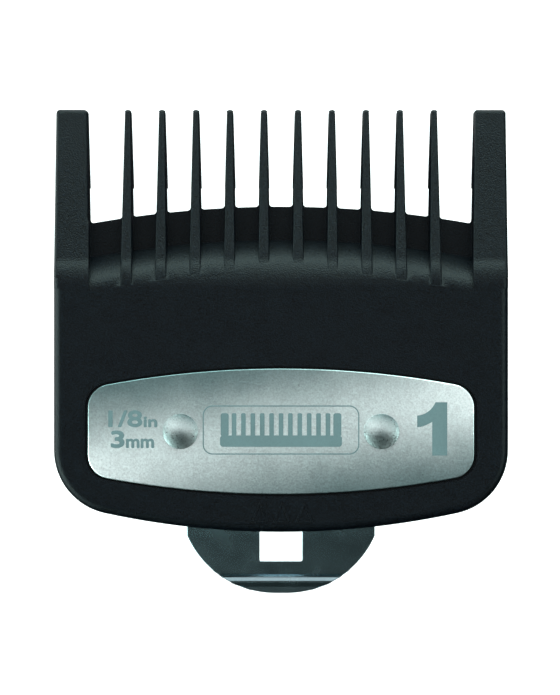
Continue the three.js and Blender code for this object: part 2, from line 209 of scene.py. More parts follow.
class RivetSizes(bpy.types.PropertyGroup):
    """Sizes of the two rivets"""

    head_radius: length("Head radius", "Radius of the domed head", 1.92)
    head_height: length("Head height", "Height of the whole head", 0.55)
    head_rim: length("Head rim", "Height of the head's rim", 0.27)
    shank_radius: length("Shank radius", "Radius of the shank", 1.1)
    tail_radius: length("Tail radius", "Radius of the formed tail", 1.7)
    tail_height: length("Tail height", "Height of the formed tail", 0.6)
    bore_radius: length("Bore radius", "Radius of the tail's hollow", 0.62)


class ClipSizes(bpy.types.PropertyGroup):
    """Sizes of the spring clip"""

    sheet: length("Sheet", "Thickness of the sheet", 0.45)
    half_width: length("Half width", "Half the clip's width", 10.65)
    leaf_corner: length("Leaf corner", "Radius of the leaf's corners", 3)
    neck_top: length("Neck top", "Height at which the neck meets the leaf", 8)
    run_height: length("Run height", "Height of the run below the blade's heel", 2.7)
    bend: length("Bend", "Radius of the first bend", 1)
    catch_foot: length("Catch foot", "Depth at which the catch starts to rise", 8.2275)
    catch_depth: length("Catch depth", "Depth of the catch's peak", 9.5775)
    catch_height: length("Catch height", "Height of the catch's peak", 6.5)
    catch_round: length("Catch round", "Radius of the catch's bends", 0.75)
    flap_bend: length("Flap bend", "Radius of the flap's upper bend", 3)
    bead_round: length("Bead round", "Radius of the bead's lower bends", 0.2)
    bead_crease: length("Bead crease", "Radius of the bead's upper bends", 0.06)
    flap_corner: length("Flap corner", "Radius of the flap's two round corners", 10.9)
    flap_flat: length("Flap flat", "Length of the flap's bottom edge", 1.3)
    flap_bend_at: spot("Flap bend at", "Depth and height of the flap's upper bend", (12.1775, -1.1))
    bead_top: spot("Bead top", "Where the flap turns into the bead", (13.02, -5.6))
    bead_crest: spot("Bead crest", "The upper side of the bead's crest", (12.68, -5.83))
    bead_brow: spot("Bead brow", "The lower side of the bead's crest", (12.64, -6.28))
    bead_foot: spot("Bead foot", "Where the bead ends", (13.06, -6.86))
    flap_end: spot("Flap end", "The flap's lower edge", (13.1975, -7.65))
    window_half: length("Window half width", "Half the width of the window", 2.42)
    window_bottom: length("Window bottom", "Height of the window's bottom edge", -4)
    window_front: length("Window front", "Depth at which the window starts", 5.055)
    window_corner: length("Window corner", "Radius of the window's corners", 0.15)
    edge_round: length("Edge round", "Rounding of the sheet's cut edges", 0.07)


class Finishes(bpy.types.PropertyGroup):
    """Colours of the pieces"""

    nylon: colour("Nylon", "Moulded comb", (0.0011, 0.0018, 0.003))
    # The plate's two colours below are painted shade and a painted highlight. The plate's colour runs
    # between them as a painted diagonal reflection.
    plate_painted_shade: colour("Plate, dark", "Face plate where its sheen is low", (0.075, 0.13, 0.135))
    plate_painted_highlight: colour("Plate, light", "Face plate where its sheen is high", (0.97, 1.0, 1.0))
    mark: colour("Marks", "Etched marks on the plate", (0.16, 0.22, 0.23))
    # The dark rivet colour is painted shade, mixed into the heads where their domes would reflect dark.
    rivet_painted_shade: colour("Rivets, dark", "Rivet steel at the middle of a head", (0.09, 0.13, 0.135))
    rivet: colour("Rivets", "Rivet steel", (0.62, 0.68, 0.68))
    clip: colour("Clip", "Spring steel", (0.33, 0.43, 0.47))
    floor: colour("Floor", "Studio floor", (0.95, 0.95, 0.95))


class StageSizes(bpy.types.PropertyGroup):
    """Places of the camera and the floor"""

    camera_distance: length("Camera distance", "From the camera to the outer face", 350)
    camera_height: length("Camera height", "Camera above the bottom of the heel", 20.31)
    camera_side: length("Camera side", "Camera to the left of the middle", 0.11)
    lens: FloatProperty(
        name="Lens", description="Focal length", default=165.1, subtype="DISTANCE_CAMERA")
    floor_drop: length("Floor drop", "From the clip's lowest edge down to the floor", 400)
    floor_radius: length("Floor radius", "Radius of the floor's flat part", 900)


def sizes_of(context, name):
    """A property group's values, with its lengths in millimetres."""
    group = getattr(context.scene, name)
    values = {}
    for key in group.__annotations__:
        value = getattr(group, key)
        if group.bl_rna.properties[key].unit == "LENGTH":
            value = value / MM if isinstance(value, float) else [part / MM for part in value]
        values[key] = value
    return SimpleNamespace(**values)


# ---- Drawing and shaping ----


def arc(centre, radius, start, end, steps=12):
    """Points of an arc between two angles in degrees."""
    angles = [math.radians(start + (end - start) * i / steps) for i in range(steps + 1)]
    return [(centre[0] + radius * math.cos(a), centre[1] + radius * math.sin(a)) for a in angles]


def curve(start, start_pull, end_pull, end, steps=14):
    """Points of a cubic curve."""
    points = []
    for i in range(steps + 1):
        t = i / steps
        weights = ((1 - t) ** 3, 3 * t * (1 - t) ** 2, 3 * t * t * (1 - t), t ** 3)
        corners = (start, start_pull, end_pull, end)
        points.append(tuple(sum(w * c[k] for w, c in zip(weights, corners)) for k in (0, 1)))
    return points


def slab(points, axis, low, high):
    """A closed outline in the other two axes, extruded from low to high along one axis."""
    place = {
        "X": lambda u, v: (low, u, v),
        "Y": lambda u, v: (u, low, v),
        "Z": lambda u, v: (u, v, low),
    }[axis]
    kept = [p for p, q in zip(points, points[1:] + points[:1]) if math.dist(p, q) > 1e-3]
    shape = bmesh.new()
    face = shape.faces.new([shape.verts.new(place(*point)) for point in kept])
    grown = bmesh.ops.extrude_face_region(shape, geom=[face])["geom"]
    moved = [item for item in grown if isinstance(item, bmesh.types.BMVert)]
    step = Vector((axis == "X", axis == "Y", axis == "Z")) * (high - low)
    bmesh.ops.translate(shape, verts=moved, vec=step)
    bmesh.ops.recalc_face_normals(shape, faces=shape.faces)
    return shape


def block(low, high):
    """A box between two corners."""
    (left, front, bottom), (right, back, top) = low, high
    corners = [(left, bottom), (right, bottom), (right, top), (left, top)]
    return slab(corners, "Y", front, back)


def pin(x, z, radius, front, back):
    """A round pin along Y."""
    return slab(arc((x, z), radius, 0, 360, 48), "Y", front, back)


def mirrored(shape):
    """A shape and its mirror image across X = 0, as one."""
    bmesh.ops.mirror(shape, geom=shape.verts[:] + shape.edges[:] + shape.faces[:], axis="X")
    bmesh.ops.recalc_face_normals(shape, faces=shape.faces)
    return shape


def as_object(shape, name="solid"):
    """A mesh object made of a shape, which is used up."""
    mesh = bpy.data.meshes.new(name)
    shape.to_mesh(mesh)
    shape.free()
    piece = bpy.data.objects.new(name, mesh)
    bpy.context.scene.collection.objects.link(piece)
    return piece


def evaluated(piece):
    """A shape with a piece's modifiers applied, and the piece is removed."""
    shape = bmesh.new()
    shape.from_object(piece, bpy.context.evaluated_depsgraph_get())
    bpy.data.objects.remove(piece)
    return shape


def combine(shape, operation, *others):
    """Joins, cuts or crops a solid by others, one after another."""
    for other in others:
        piece = as_object(shape)
        tool = as_object(other)
        modifier = piece.modifiers.new("combine", "BOOLEAN")
        modifier.operation = operation
        modifier.solver = "MANIFOLD"
        modifier.object = tool
        shape = evaluated(piece)
        bpy.data.objects.remove(tool)
    if not shape.faces or any(not edge.is_manifold for edge in shape.edges):
        raise RuntimeError(f"{operation} did not give a closed solid")
    return shape


def bevelled(shape, width, segments=3, sharper_than=35, weights=None):
    """A solid with its sharp edges rounded, each by its own share of the width."""
    layer = shape.edges.layers.float.new("bevel_weight_edge")
    for edge in shape.edges:
        sharp = edge.calc_face_angle(0) > math.radians(sharper_than)
        edge[layer] = (weights(edge) if weights else 1) if sharp else 0
    piece = as_object(shape)
    modifier = piece.modifiers.new("round", "BEVEL")
    modifier.limit_method = "WEIGHT"
    modifier.width = width
    modifier.segments = segments
    modifier.profile = 0.5
    modifier.use_clamp_overlap = False
    return evaluated(piece)


def finished(shape, name, material, body, nodes):
    """Puts a shape into the frame as a finished piece that stands for some nodes."""
    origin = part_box("comb_body")[0]
    place = Matrix.Translation((0, origin.y, origin.z)) @ Matrix.Scale(MM, 4)
    bmesh.ops.transform(shape, matrix=place, verts=shape.verts)
    for face in shape.faces:
        face.smooth = True
    for edge in shape.edges:
        edge.smooth = edge.calc_face_angle(0) < math.radians(SMOOTH_BELOW)
    piece = as_object(shape, name)
    piece.data.materials.append(material)
    weighted = piece.modifiers.new("even shading", "WEIGHTED_NORMAL")
    weighted.keep_sharp = True
    if nodes:
        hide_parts(*nodes)
    if body:
        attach(piece, body)
    return piece


# ---- Outlines ----


def heel_line(half, bottom, radius, corner):
    """The heel's long arc and its two corners, from the left side to the right."""
    x = half - corner
    reach = radius - corner
    drop = radius - math.sqrt(reach ** 2 - x ** 2)
    turn = math.degrees(math.asin(x / reach))
    return [
        *arc((-x, bottom + drop), corner, 180, 270 - turn, 16),
        *arc((0, bottom + radius), radius, 270 - turn, 270 + turn, 24),
        *arc((x, bottom + drop), corner, 270 + turn, 360, 16),
    ]


def comb_outline(comb, teeth):
    """Heel, sides, the two end teeth and the web's top between them."""
    half = COMB_HIGH.x
    top = COMB_HIGH.z - teeth.tip_trim
    corner = teeth.end_corner
    inner_tip = half - teeth.end_tip_width
    web_end = half - teeth.end_root_width - teeth.fillet
    turn = math.degrees(math.asin(web_end / comb.web_radius))
    ends = (90 - turn, 90 + turn)
    web = web_top(comb, teeth, *ends)
    fillet_height = web[0][1] + teeth.fillet
    return [
        *heel_line(half, 0, comb.heel_radius, comb.heel_corner),
        *arc((half - corner, top - corner), corner, 0, 90, 8),
        *arc((inner_tip + corner, top - corner), corner, 90, 180, 8),
        *arc((web_end, fillet_height), teeth.fillet, 0, -90, 6),
        *web,
        *arc((-web_end, fillet_height), teeth.fillet, -90, -180, 6),
        *arc((-inner_tip - corner, top - corner), corner, 0, 90, 8),
        *arc((corner - half, top - corner), corner, 90, 180, 8),
    ]


def web_top(comb, teeth, first, last):
    """The web's top edge from right to left, with a filleted stub under each slender tooth."""
    centre = (0, comb.web_height - comb.web_radius)
    reach = comb.web_radius
    r = teeth.fillet
    stub_trim = 0.08
    stub_rise = 0.3
    edge = []
    start = first
    for x in reversed(tooth_places(teeth)):
        z = centre[1] + math.sqrt(reach ** 2 - x ** 2) + r
        half = tooth_half(teeth, z) - teeth.draft / 2
        stop, again = [math.degrees(math.acos((x + side * (half + r)) / reach)) for side in (1, -1)]
        right = centre[1] + math.sqrt(reach ** 2 - (x + half + r) ** 2) + r
        left = centre[1] + math.sqrt(reach ** 2 - (x - half - r) ** 2) + r
        edge += arc(centre, reach, start, stop, 3)
        edge += arc((x + half + r, right), r, -90, -180, 6)[1:]
        edge += [(x + side * (half - stub_trim), z + stub_rise) for side in (1, -1)]
        edge += arc((x - half - r, left), r, 0, -90, 6)[:-1]
        start = again
    return edge + arc(centre, reach, start, last, 3)


def face_line(comb, teeth):
    """The outer face from the side: the flat, the shoulder's round and the hollow above it."""
    tilt = math.degrees(comb.shoulder_tilt)
    lean = math.degrees(teeth.tilt)
    radius = comb.shoulder_radius
    shoulder = arc((radius, comb.shoulder_start), radius, 180, 180 - tilt)
    y, z = shoulder[-1]
    hollow_centre = (
        y - comb.hollow_radius * math.cos(comb.shoulder_tilt),
        z + comb.hollow_radius * math.sin(comb.shoulder_tilt),
    )
    return shoulder + arc(hollow_centre, comb.hollow_radius, -tilt, -lean)


def side_profile(comb, teeth, inset=0, tip_round=0):
    """The comb from the side, without rails and hooks. An inset draws it that much smaller."""
    face = [(y + inset, z) for y, z in face_line(comb, teeth)]
    top = COMB_HIGH.z - teeth.tip_trim - inset
    seat = comb.seat_depth - inset
    tip_back = seat + teeth.tip_step
    slope = math.tan(teeth.tilt)
    lean = math.degrees(teeth.tilt)
    centre_height = top - tip_round
    centre_depth = (
        face[-1][0] + (centre_height - face[-1][1]) * slope + tip_round / math.cos(teeth.tilt))
    back_round = tip_round / 2
    return [
        (face[0][0], -1),
        *face,
        *arc((centre_depth, centre_height), tip_round, 180 - lean, 90, 8),
        *arc((tip_back - back_round, top - back_round), back_round, 90, 0, 6),
        (seat + teeth.stop_step, comb.stop_height),
        (seat, comb.stop_height),
        (seat, -1),
    ]


def plate_outline(plate, grow=0, inset=0):
    """A plate with a bowed top and bottom edge and four round corners."""
    half = PLATE_HIGH.x + grow - inset
    bottom = PLATE_LOW.z - grow
    middle = (PLATE_LOW.z + PLATE_HIGH.z) / 2
    lower = heel_line(half, bottom, plate.arc_radius + grow, plate.corner + grow)
    upper = [(-x, 2 * middle - z) for x, z in lower]
    return lower + upper


# ---- Comb ----


def side_rails(comb, teeth):
    """The two rails beside the blade, with their hooks."""
    back = comb.seat_depth + comb.rail_height
    root = comb.seat_depth - 1
    hook_back = COMB_HIGH.y
    hook_top = comb.stop_height + hook_back - comb.hook_start
    shoulder_top = hook_top + comb.rail_height
    hook_bottom = comb.stop_height - comb.hook_grip
    outer = COMB_HIGH.x + 1
    rail = slab([
        (root, comb.rail_bottom),
        (comb.seat_depth, comb.rail_bottom),
        (back, comb.rail_full),
        (back, hook_bottom - comb.hook_ramp),
        (hook_back, hook_bottom),
        (hook_back, hook_top),
        (comb.seat_depth + teeth.stop_step, shoulder_top),
        (root, shoulder_top),
    ], "X", comb.rail_inner, outer)
    hook = slab([
        (comb.hook_start, hook_bottom),
        (hook_back, hook_bottom),
        (hook_back, hook_top),
        (comb.seat_depth + teeth.stop_step, shoulder_top),
        (root, shoulder_top),
        (root, comb.stop_height),
        (comb.hook_start, comb.stop_height),
    ], "X", comb.hook_inner, outer)
    return mirrored(combine(rail, "UNION", hook))


def web_hollow(comb, teeth):
    """What is cut away in front of the web, between the two end teeth."""
    web_front = comb.seat_depth - comb.web_thickness
    start_height = comb.recess_start
    slope = math.tan(comb.shoulder_tilt)
    start = (comb.shoulder_radius * (1 - math.cos(comb.shoulder_tilt)), start_height)
    end = (web_front, start_height + comb.recess_rise)
    pull = 1.35  # up the shoulder's slope, where the bed starts
    end_pull = (1.1, 0.15)  # forward and down, where the bed meets the web
    ramp = 1.3  # how far the cut runs on below the bed, along the slope
    high = comb.web_height + 2
    front = -2
    bed = curve(
        start, (start[0] + pull * slope, start_height + pull),
        (end[0] - end_pull[0], end[1] - end_pull[1]), end)
    profile = [
        (start[0] - ramp * slope, start_height - ramp), *bed, (web_front, high), (front, high),
        (front, start_height - ramp),
    ]
    overlap = 0.5
    reach = COMB_HIGH.x - teeth.end_root_width + overlap
    turn = math.asin(reach / (comb.web_radius - (comb.web_height - comb.recess_start)))
    shape = bmesh.new()
    face = shape.faces.new([shape.verts.new((0, y, z)) for y, z in profile])
    centre = Vector((0, 0, comb.web_height - comb.web_radius))
    bmesh.ops.rotate(
        shape, verts=shape.verts, cent=centre, matrix=Matrix.Rotation(-turn, 3, "Y"))
    bmesh.ops.spin(
        shape, geom=[face, *face.edges, *face.verts], cent=centre, axis=(0, 1, 0),
        angle=2 * turn, steps=32)
    bmesh.ops.recalc_face_normals(shape, faces=shape.faces)
    rate = (teeth.end_root_width - teeth.end_tip_width) / (COMB_HIGH.z - teeth.root_height)
    wall = lambda z: COMB_HIGH.x - teeth.end_root_width - (teeth.root_height - z) * rate
    low = comb.shoulder_start - 2
    column = slab([
        (-wall(low), low), (wall(low), low), (wall(high), high), (-wall(high), high),
    ], "Y", -1.5, comb.seat_depth)
    return combine(shape, "INTERSECT", column)


def pocket(comb, teeth):
    """The hollow behind the face, less the ribs that carry the blade."""
    line = heel_line(
        comb.pocket_half, comb.heel_wall, comb.heel_radius - comb.heel_wall, comb.pocket_corner)
    line += [(comb.pocket_half, comb.pocket_top), (-comb.pocket_half, comb.pocket_top)]
    hollow = slab(line, "Y", comb.face_wall, comb.seat_depth + 1)
    front = comb.face_wall - 1
    back = comb.seat_depth + 2
    middle = comb.cross_rib + comb.rib_width / 2
    cross = block(
        (-COMB_HIGH.x, front, comb.cross_rib), (COMB_HIGH.x, back, comb.cross_rib + comb.rib_width))
    ribs = [block((x, front, -1), (x + comb.rib_width, back, middle))
            for x in (comb.side_rib, -comb.side_rib - comb.rib_width)]
    half = comb.rib_width / 2
    ribs += [block((x - half, front, middle), (x + half, back, comb.pocket_top + 1))
             for x in tooth_places(teeth)]
    return combine(hollow, "DIFFERENCE", cross, *ribs)


def tooth_places(teeth):
    """The slender teeth's middles, from left to right."""
    last = COMB_HIGH.x - teeth.end_root_width - teeth.end_gap - teeth.root_width / 2
    pitch = 2 * last / (teeth.count - 1)
    return [i * pitch - last for i in range(teeth.count)]


def tooth_half(teeth, z):
    """Half a slender tooth's width at a height, at its back."""
    share = (COMB_HIGH.z - z) / (COMB_HIGH.z - teeth.root_height)
    return (teeth.tip_width + (teeth.root_width - teeth.tip_width) * share) / 2


def slender_tooth(comb, teeth, x):
    """One slender tooth, from where it leaves the shoulder to its tip."""
    sunk = 0.01  # below the blank's own faces, so that none coincide
    top = COMB_HIGH.z - teeth.tip_trim - sunk
    low = comb.pocket_top + 0.2
    foot_low = comb.shoulder_start - 0.4
    tip = teeth.tip_width / 2
    foot_half = tooth_half(teeth, foot_low)
    outline = [
        (-foot_half, foot_low), (foot_half, foot_low),
        *arc((0, top - tip), tip, 0, 180, 16),
    ]
    front = 0
    back = comb.seat_depth + teeth.stop_step + 1
    tooth = slab(outline, "Y", front, back)
    for vert in tooth.verts:
        narrower = teeth.draft * (back - vert.co.y) / (back - front)
        vert.co.x *= 1 - min(narrower / tooth_half(teeth, vert.co.z), 1)
    seat = comb.seat_depth - sunk
    foot_depth = comb.face_wall - 0.3
    foot = [(seat, low), (foot_depth, low), (foot_depth, foot_low + 0.05)]

    def crop(shape, tip_round):
        profile = side_profile(comb, teeth, sunk, tip_round)
        line = [(y, z) for y, z in profile if z > foot_low + 0.1] + foot
        return combine(shape, "INTERSECT", slab(line, "X", -2, 2))

    tooth = bevelled(crop(tooth, 0), teeth.edge_round, weights=front_rim)
    tooth = crop(tooth, teeth.tip_round)
    bmesh.ops.translate(tooth, verts=tooth.verts, vec=(x, 0, 0))
    return tooth


def front_rim(edge):
    """1 for an edge between the outer face and a side of the blank, and 0 for any other."""
    facing = [face.normal.y < -0.5 for face in edge.link_faces]
    return 1 if any(facing) and not all(facing) else 0


def rimmed(blank, comb):
    """The blank with its front rim rounded, more at the body than at the end teeth."""
    between = (comb.rim_round + comb.body_round) / 2
    step_top = comb.body_top + 1.2
    reach = COMB_HIGH.x + 2
    steps = [
        (-2, comb.body_top, comb.body_round), (comb.body_top, step_top, between),
        (step_top, COMB_HIGH.z + 1, comb.rim_round),
    ]
    parts = []
    for low, high, width in steps:
        ends = (low, high)
        part = combine(blank.copy(), "INTERSECT", block((-reach, -2, low), (reach, 30, high)))

        def weights(edge):
            cut = any(all(abs(v.co.z - end) < 1e-3 for v in edge.verts) for end in ends)
            return 0 if cut else front_rim(edge)

        parts.append(bevelled(part, width, segments=6, weights=weights))
    blank.free()
    return combine(parts[0], "UNION", *parts[1:])


def comb_moulding(comb, teeth, plate):
    """The whole moulding: blank, rim, recess, pocket, seats, holes and slender teeth."""
    outer = COMB_HIGH.x + 1
    blank = slab(side_profile(comb, teeth), "X", -outer, outer)
    blank = combine(blank, "UNION", side_rails(comb, teeth))
    outline = slab(comb_outline(comb, teeth), "Y", -1, COMB_HIGH.y + 1)
    blank = combine(blank, "INTERSECT", outline)
    blank = rimmed(blank, comb)
    notch = block(
        (-comb.notch_half, comb.face_wall, -1), (comb.notch_half, COMB_HIGH.y, comb.notch_height))
    seat = slab(plate_outline(plate, comb.plate_gap), "Y", -1, comb.plate_recess)
    holes = mirrored(pin(RIVET_SPOT.x, RIVET_SPOT.z, plate.hole, -1, comb.face_wall + 1))
    hook_foot = Vector((comb.hook_inner, comb.seat_depth, comb.stop_height - comb.hook_grip))
    relief = mirrored(block(
        [value - comb.hook_relief for value in hook_foot],
        (comb.rail_inner, comb.seat_depth + 1, comb.stop_height)))
    body = combine(
        blank, "DIFFERENCE", web_hollow(comb, teeth), pocket(comb, teeth), notch, seat, holes, relief)
    body = bevelled(body, comb.edge_round, segments=2)
    return combine(body, "UNION", *[slender_tooth(comb, teeth, x) for x in tooth_places(teeth)])


# ---- Face plate and marks ----


def face_plate(plate):
    """The steel plate, with its front edges rounded."""
    shape = slab(plate_outline(plate, 0, plate.inset), "Y", PLATE_LOW.y, PLATE_HIGH.y)
    shape = combine(
        shape, "DIFFERENCE", mirrored(pin(RIVET_SPOT.x, RIVET_SPOT.z, plate.hole, -2, 2)))
    front = PLATE_LOW.y + 0.01
    return bevelled(
        shape, plate.edge_round, weights=lambda edge: all(v.co.y < front for v in edge.verts))


def pill(width, height, corner, centre, axis_range):
    """A rectangle with round corners, as a slab along Y."""
    half, rise = width / 2 - corner, height / 2 - corner
    x, z = centre
    return slab([
        *arc((x + half, z - rise), corner, -90, 0),
        *arc((x + half, z + rise), corner, 0, 90),
        *arc((x - half, z + rise), corner, 90, 180),
        *arc((x - half, z - rise), corner, 180, 270),
    ], "Y", *axis_range)


def lettering(words, left, bottom, width, height, bold, depths):
    """Plain lettering that faces the front, made to fit a width and a height, as a solid."""
    text = bpy.data.curves.new(words, "FONT")
    text.body = words
    text.extrude = 0.5
    holder = bpy.data.objects.new(words, text)
    bpy.context.scene.collection.objects.link(holder)
    solid = holder.evaluated_get(bpy.context.evaluated_depsgraph_get())
    shape = bmesh.new()
    shape.from_mesh(solid.to_mesh())
    solid.to_mesh_clear()
    bpy.data.objects.remove(holder)
    bmesh.ops.remove_doubles(shape, verts=shape.verts, dist=1e-4)
    bmesh.ops.rotate(shape, verts=shape.verts, matrix=Matrix.Rotation(math.radians(90), 3, "X"))
    low, high = [[pick(vert.co[k] for vert in shape.verts) for k in range(3)] for pick in (min, max)]
    target = ((left + bold, width - 2 * bold), (depths[0], depths[1] - depths[0]),
              (bottom + bold, height - 2 * bold))
    for vert in shape.verts:
        vert.co = [start + (vert.co[k] - low[k]) / (high[k] - low[k]) * size
                   for k, (start, size) in enumerate(target)]
    bmesh.ops.recalc_face_normals(shape, faces=shape.faces)
    copies = []
    for turn in range(0, 360, 45):
        copy = shape.copy()
        step = (bold * math.cos(math.radians(turn)), 0, bold * math.sin(math.radians(turn)))
        bmesh.ops.translate(copy, verts=copy.verts, vec=step)
        copies.append(copy)
    return combine(shape, "UNION", *copies)


def joined(*shapes):
    """Several separate shapes in one."""
    whole = bmesh.new()
    for shape in shapes:
        mesh = bpy.data.meshes.new("part")
        shape.to_mesh(mesh)
        shape.free()
        whole.from_mesh(mesh)
        bpy.data.meshes.remove(mesh)
    return whole


def numeral_one(right, bottom, width, height, stem, depths):
    """A heavy figure one, drawn from its own strokes."""
    left = right - width
    top = bottom + height
    flag = curve(
        (left, top - height * 0.25), (left + width * 0.28, top - height * 0.24),
        (left + width * 0.5, top - height * 0.14), (right - stem * 0.78, top), 8)
    under = curve(
        (right - stem, top - height * 0.37), (right - stem * 1.3, top - height * 0.41),
        (left + width * 0.24, top - height * 0.46), (left, top - height * 0.47), 6)
    return slab(
        [(right - stem, bottom), (right, bottom), (right, top), *reversed(flag), *reversed(under)],
        "Y", *depths)


def comb_sign(centre, width, height, depths):
    """A small comb: a back with a row of teeth on it."""
    x, z = centre
    back_height = height * 0.34
    low = z - height / 2
    count = 13
    pitch = width / count
    parts = [pill(width, back_height, back_height * 0.3, (x, low + back_height / 2), depths)]
    for i in range(count):
        outer = i in (0, count - 1)
        tooth = pitch * (0.86 if outer else 0.5)
        middle = x - width / 2 + pitch * (i + 0.5)
        base = low + back_height * 0.9
        parts.append(pill(
            tooth, low + height - base, tooth * 0.3, (middle, (base + low + height) / 2), depths))
    first, *others = parts
    return combine(first, "UNION", *others)


def plate_marks(plate):
    """The etched marks: the comb's number, its cutting length twice, and a comb in a frame."""
    depths = (PLATE_LOW.y - plate.mark_rise, PLATE_LOW.y + 0.05)
    middle = (PLATE_LOW.z + PLATE_HIGH.z) / 2
    left = PLATE_LOW.x
    badge = (0, middle + 0.15)
    line = plate.badge_line
    frame_line = combine(
        pill(plate.badge_width, plate.badge_height, plate.badge_corner, badge, depths),
        "DIFFERENCE",
        pill(plate.badge_width - 2 * line, plate.badge_height - 2 * line,
             plate.badge_corner - line, badge, (depths[0] - 1, depths[1] + 1)))
    words = [  # words, left and bottom, width and height, emboldening
        ("1/8", 2.33, 0.45, 3.75, 1.87, 0.08), ("in", 6.2, 0.45, 1.52, 1.19, 0.07),
        ("3", 2.6, -1.84, 1.53, 1.95, 0.1), ("mm", 4.28, -1.84, 3.1, 1.05, 0.07),
    ]
    return joined(
        *[lettering(word, left + x, middle + z, *rest, depths) for word, x, z, *rest in words],
        frame_line,
        comb_sign(badge, 13.4, 3.7, depths),
        numeral_one(PLATE_HIGH.x - 3.05, middle - 2.65, 3.3, 5.85, 1.65, depths),
    )


def moulded_arrows():
    """Three raised outlines in the moulding below the plate, which point to the teeth."""
    depths = (-0.1, 0.05)
    line = 0.17
    half, low, high = 1.0, 1.05, 3.35
    inner_half = half - 1.7 * line
    shapes = []
    for x in (-2.35, 0.1, 2.55):
        outer = [(x - half, low), (x + half, low), (x, high)]
        inner = [(x - inner_half, low + line), (x + inner_half, low + line),
                 (x, high - 2.5 * line)]
        shapes.append(combine(
            slab(outer, "Y", *depths), "DIFFERENCE", slab(inner, "Y", -1, 1)))
    return bevelled(joined(*shapes), 0.05, 2)


# ---- Rivets ----


def rivet_pair(rivet):
    """Two semi-tubular rivets: a domed head in front and a rolled tail behind."""
    apex = RIVET_LOW.y
    end = RIVET_HIGH.y
    roll_height = 0.35
    chamfer = 0.06
    head_chamfer = 0.05
    bore_floor, bore_side = 1.3, 1.1  # below the tail's end
    under_head = apex + rivet.head_height
    under_tail = end - rivet.tail_height
    bore = rivet.bore_radius
    roll_middle = (bore + rivet.tail_radius) / 2
    roll_half = (rivet.tail_radius - bore) / 2
    roll = [(roll_middle - roll_half * math.cos(math.radians(a)),
             end - roll_height + roll_height * math.sin(math.radians(a)))
            for a in range(0, 181, 15)]
    rim = under_head - rivet.head_rim
    dome_height = rim - apex
    dome_radius = (rivet.head_radius ** 2 + dome_height ** 2) / (2 * dome_height)
    dome_turn = math.degrees(math.asin(rivet.head_radius / dome_radius))
    dome = arc((0, apex + dome_radius), dome_radius, dome_turn - 90, -90)
    profile = [
        (0, end - bore_floor), (bore, end - bore_side), *roll,
        (rivet.tail_radius, under_tail + chamfer), (rivet.tail_radius - chamfer, under_tail),
        (rivet.shank_radius, under_tail), (rivet.shank_radius, under_head),
        (rivet.head_radius - head_chamfer, under_head),
        (rivet.head_radius, under_head - head_chamfer), *dome,
    ]
    shape = bmesh.new()
    line = [shape.verts.new((radius, y, 0)) for radius, y in profile]
    edges = [shape.edges.new(pair) for pair in zip(line, line[1:])]
    bmesh.ops.spin(
        shape, geom=line + edges, cent=(0, 0, 0), axis=(0, 1, 0), angle=math.tau, steps=56,
        use_merge=True)
    bmesh.ops.remove_doubles(shape, verts=shape.verts, dist=1e-4)
    bmesh.ops.translate(shape, verts=shape.verts, vec=(RIVET_SPOT.x, 0, RIVET_SPOT.z))
    return mirrored(shape)


# ---- Spring clip ----


def bent_line(corners):
    """A line through corners (depth, height, radius), with each corner rounded by its radius."""
    points = [Vector(corner[:2]) for corner in corners]
    line = [points[0]]
    for before, here, after, corner in zip(points, points[1:], points[2:], corners[1:]):
        back = (before - here).normalized()
        onward = (after - here).normalized()
        half_turn = (math.pi - back.angle(onward)) / 2
        reach = corner[2] * math.tan(half_turn)
        centre = here + (back + onward).normalized() * corner[2] / math.cos(half_turn)
        arm = here + back * reach - centre
        turn = 2 * half_turn * (1 if back.cross(onward) < 0 else -1)
        steps = max(2, math.ceil(math.degrees(2 * half_turn) / 11))
        line += [centre + Matrix.Rotation(turn * i / steps, 2) @ arm for i in range(steps + 1)]
    return [*line, points[-1]]


def clip_outline(clip):
    """The clip from the front: leaf, neck, straight sides and two large round corners."""
    half = clip.half_width
    flat = clip.flap_flat / 2
    middle = clip.flap_end[1] + clip.flap_corner
    side = math.degrees(math.acos((half - flat) / clip.flap_corner))
    ear = LEAF_HIGH.x - clip.leaf_corner
    low = clip.neck_top + clip.leaf_corner
    high = LEAF_HIGH.z - clip.leaf_corner
    fillet = 0.5
    right = [
        *arc((flat, middle), clip.flap_corner, 270, 360 - side, 24),
        *arc((half + fillet, clip.neck_top - fillet), fillet, 180, 90, 6),
        *arc((ear, low), clip.leaf_corner, 270, 360),
        *arc((ear, high), clip.leaf_corner, 0, 90),
    ]
    return right + [(-x, z) for x, z in reversed(right)]


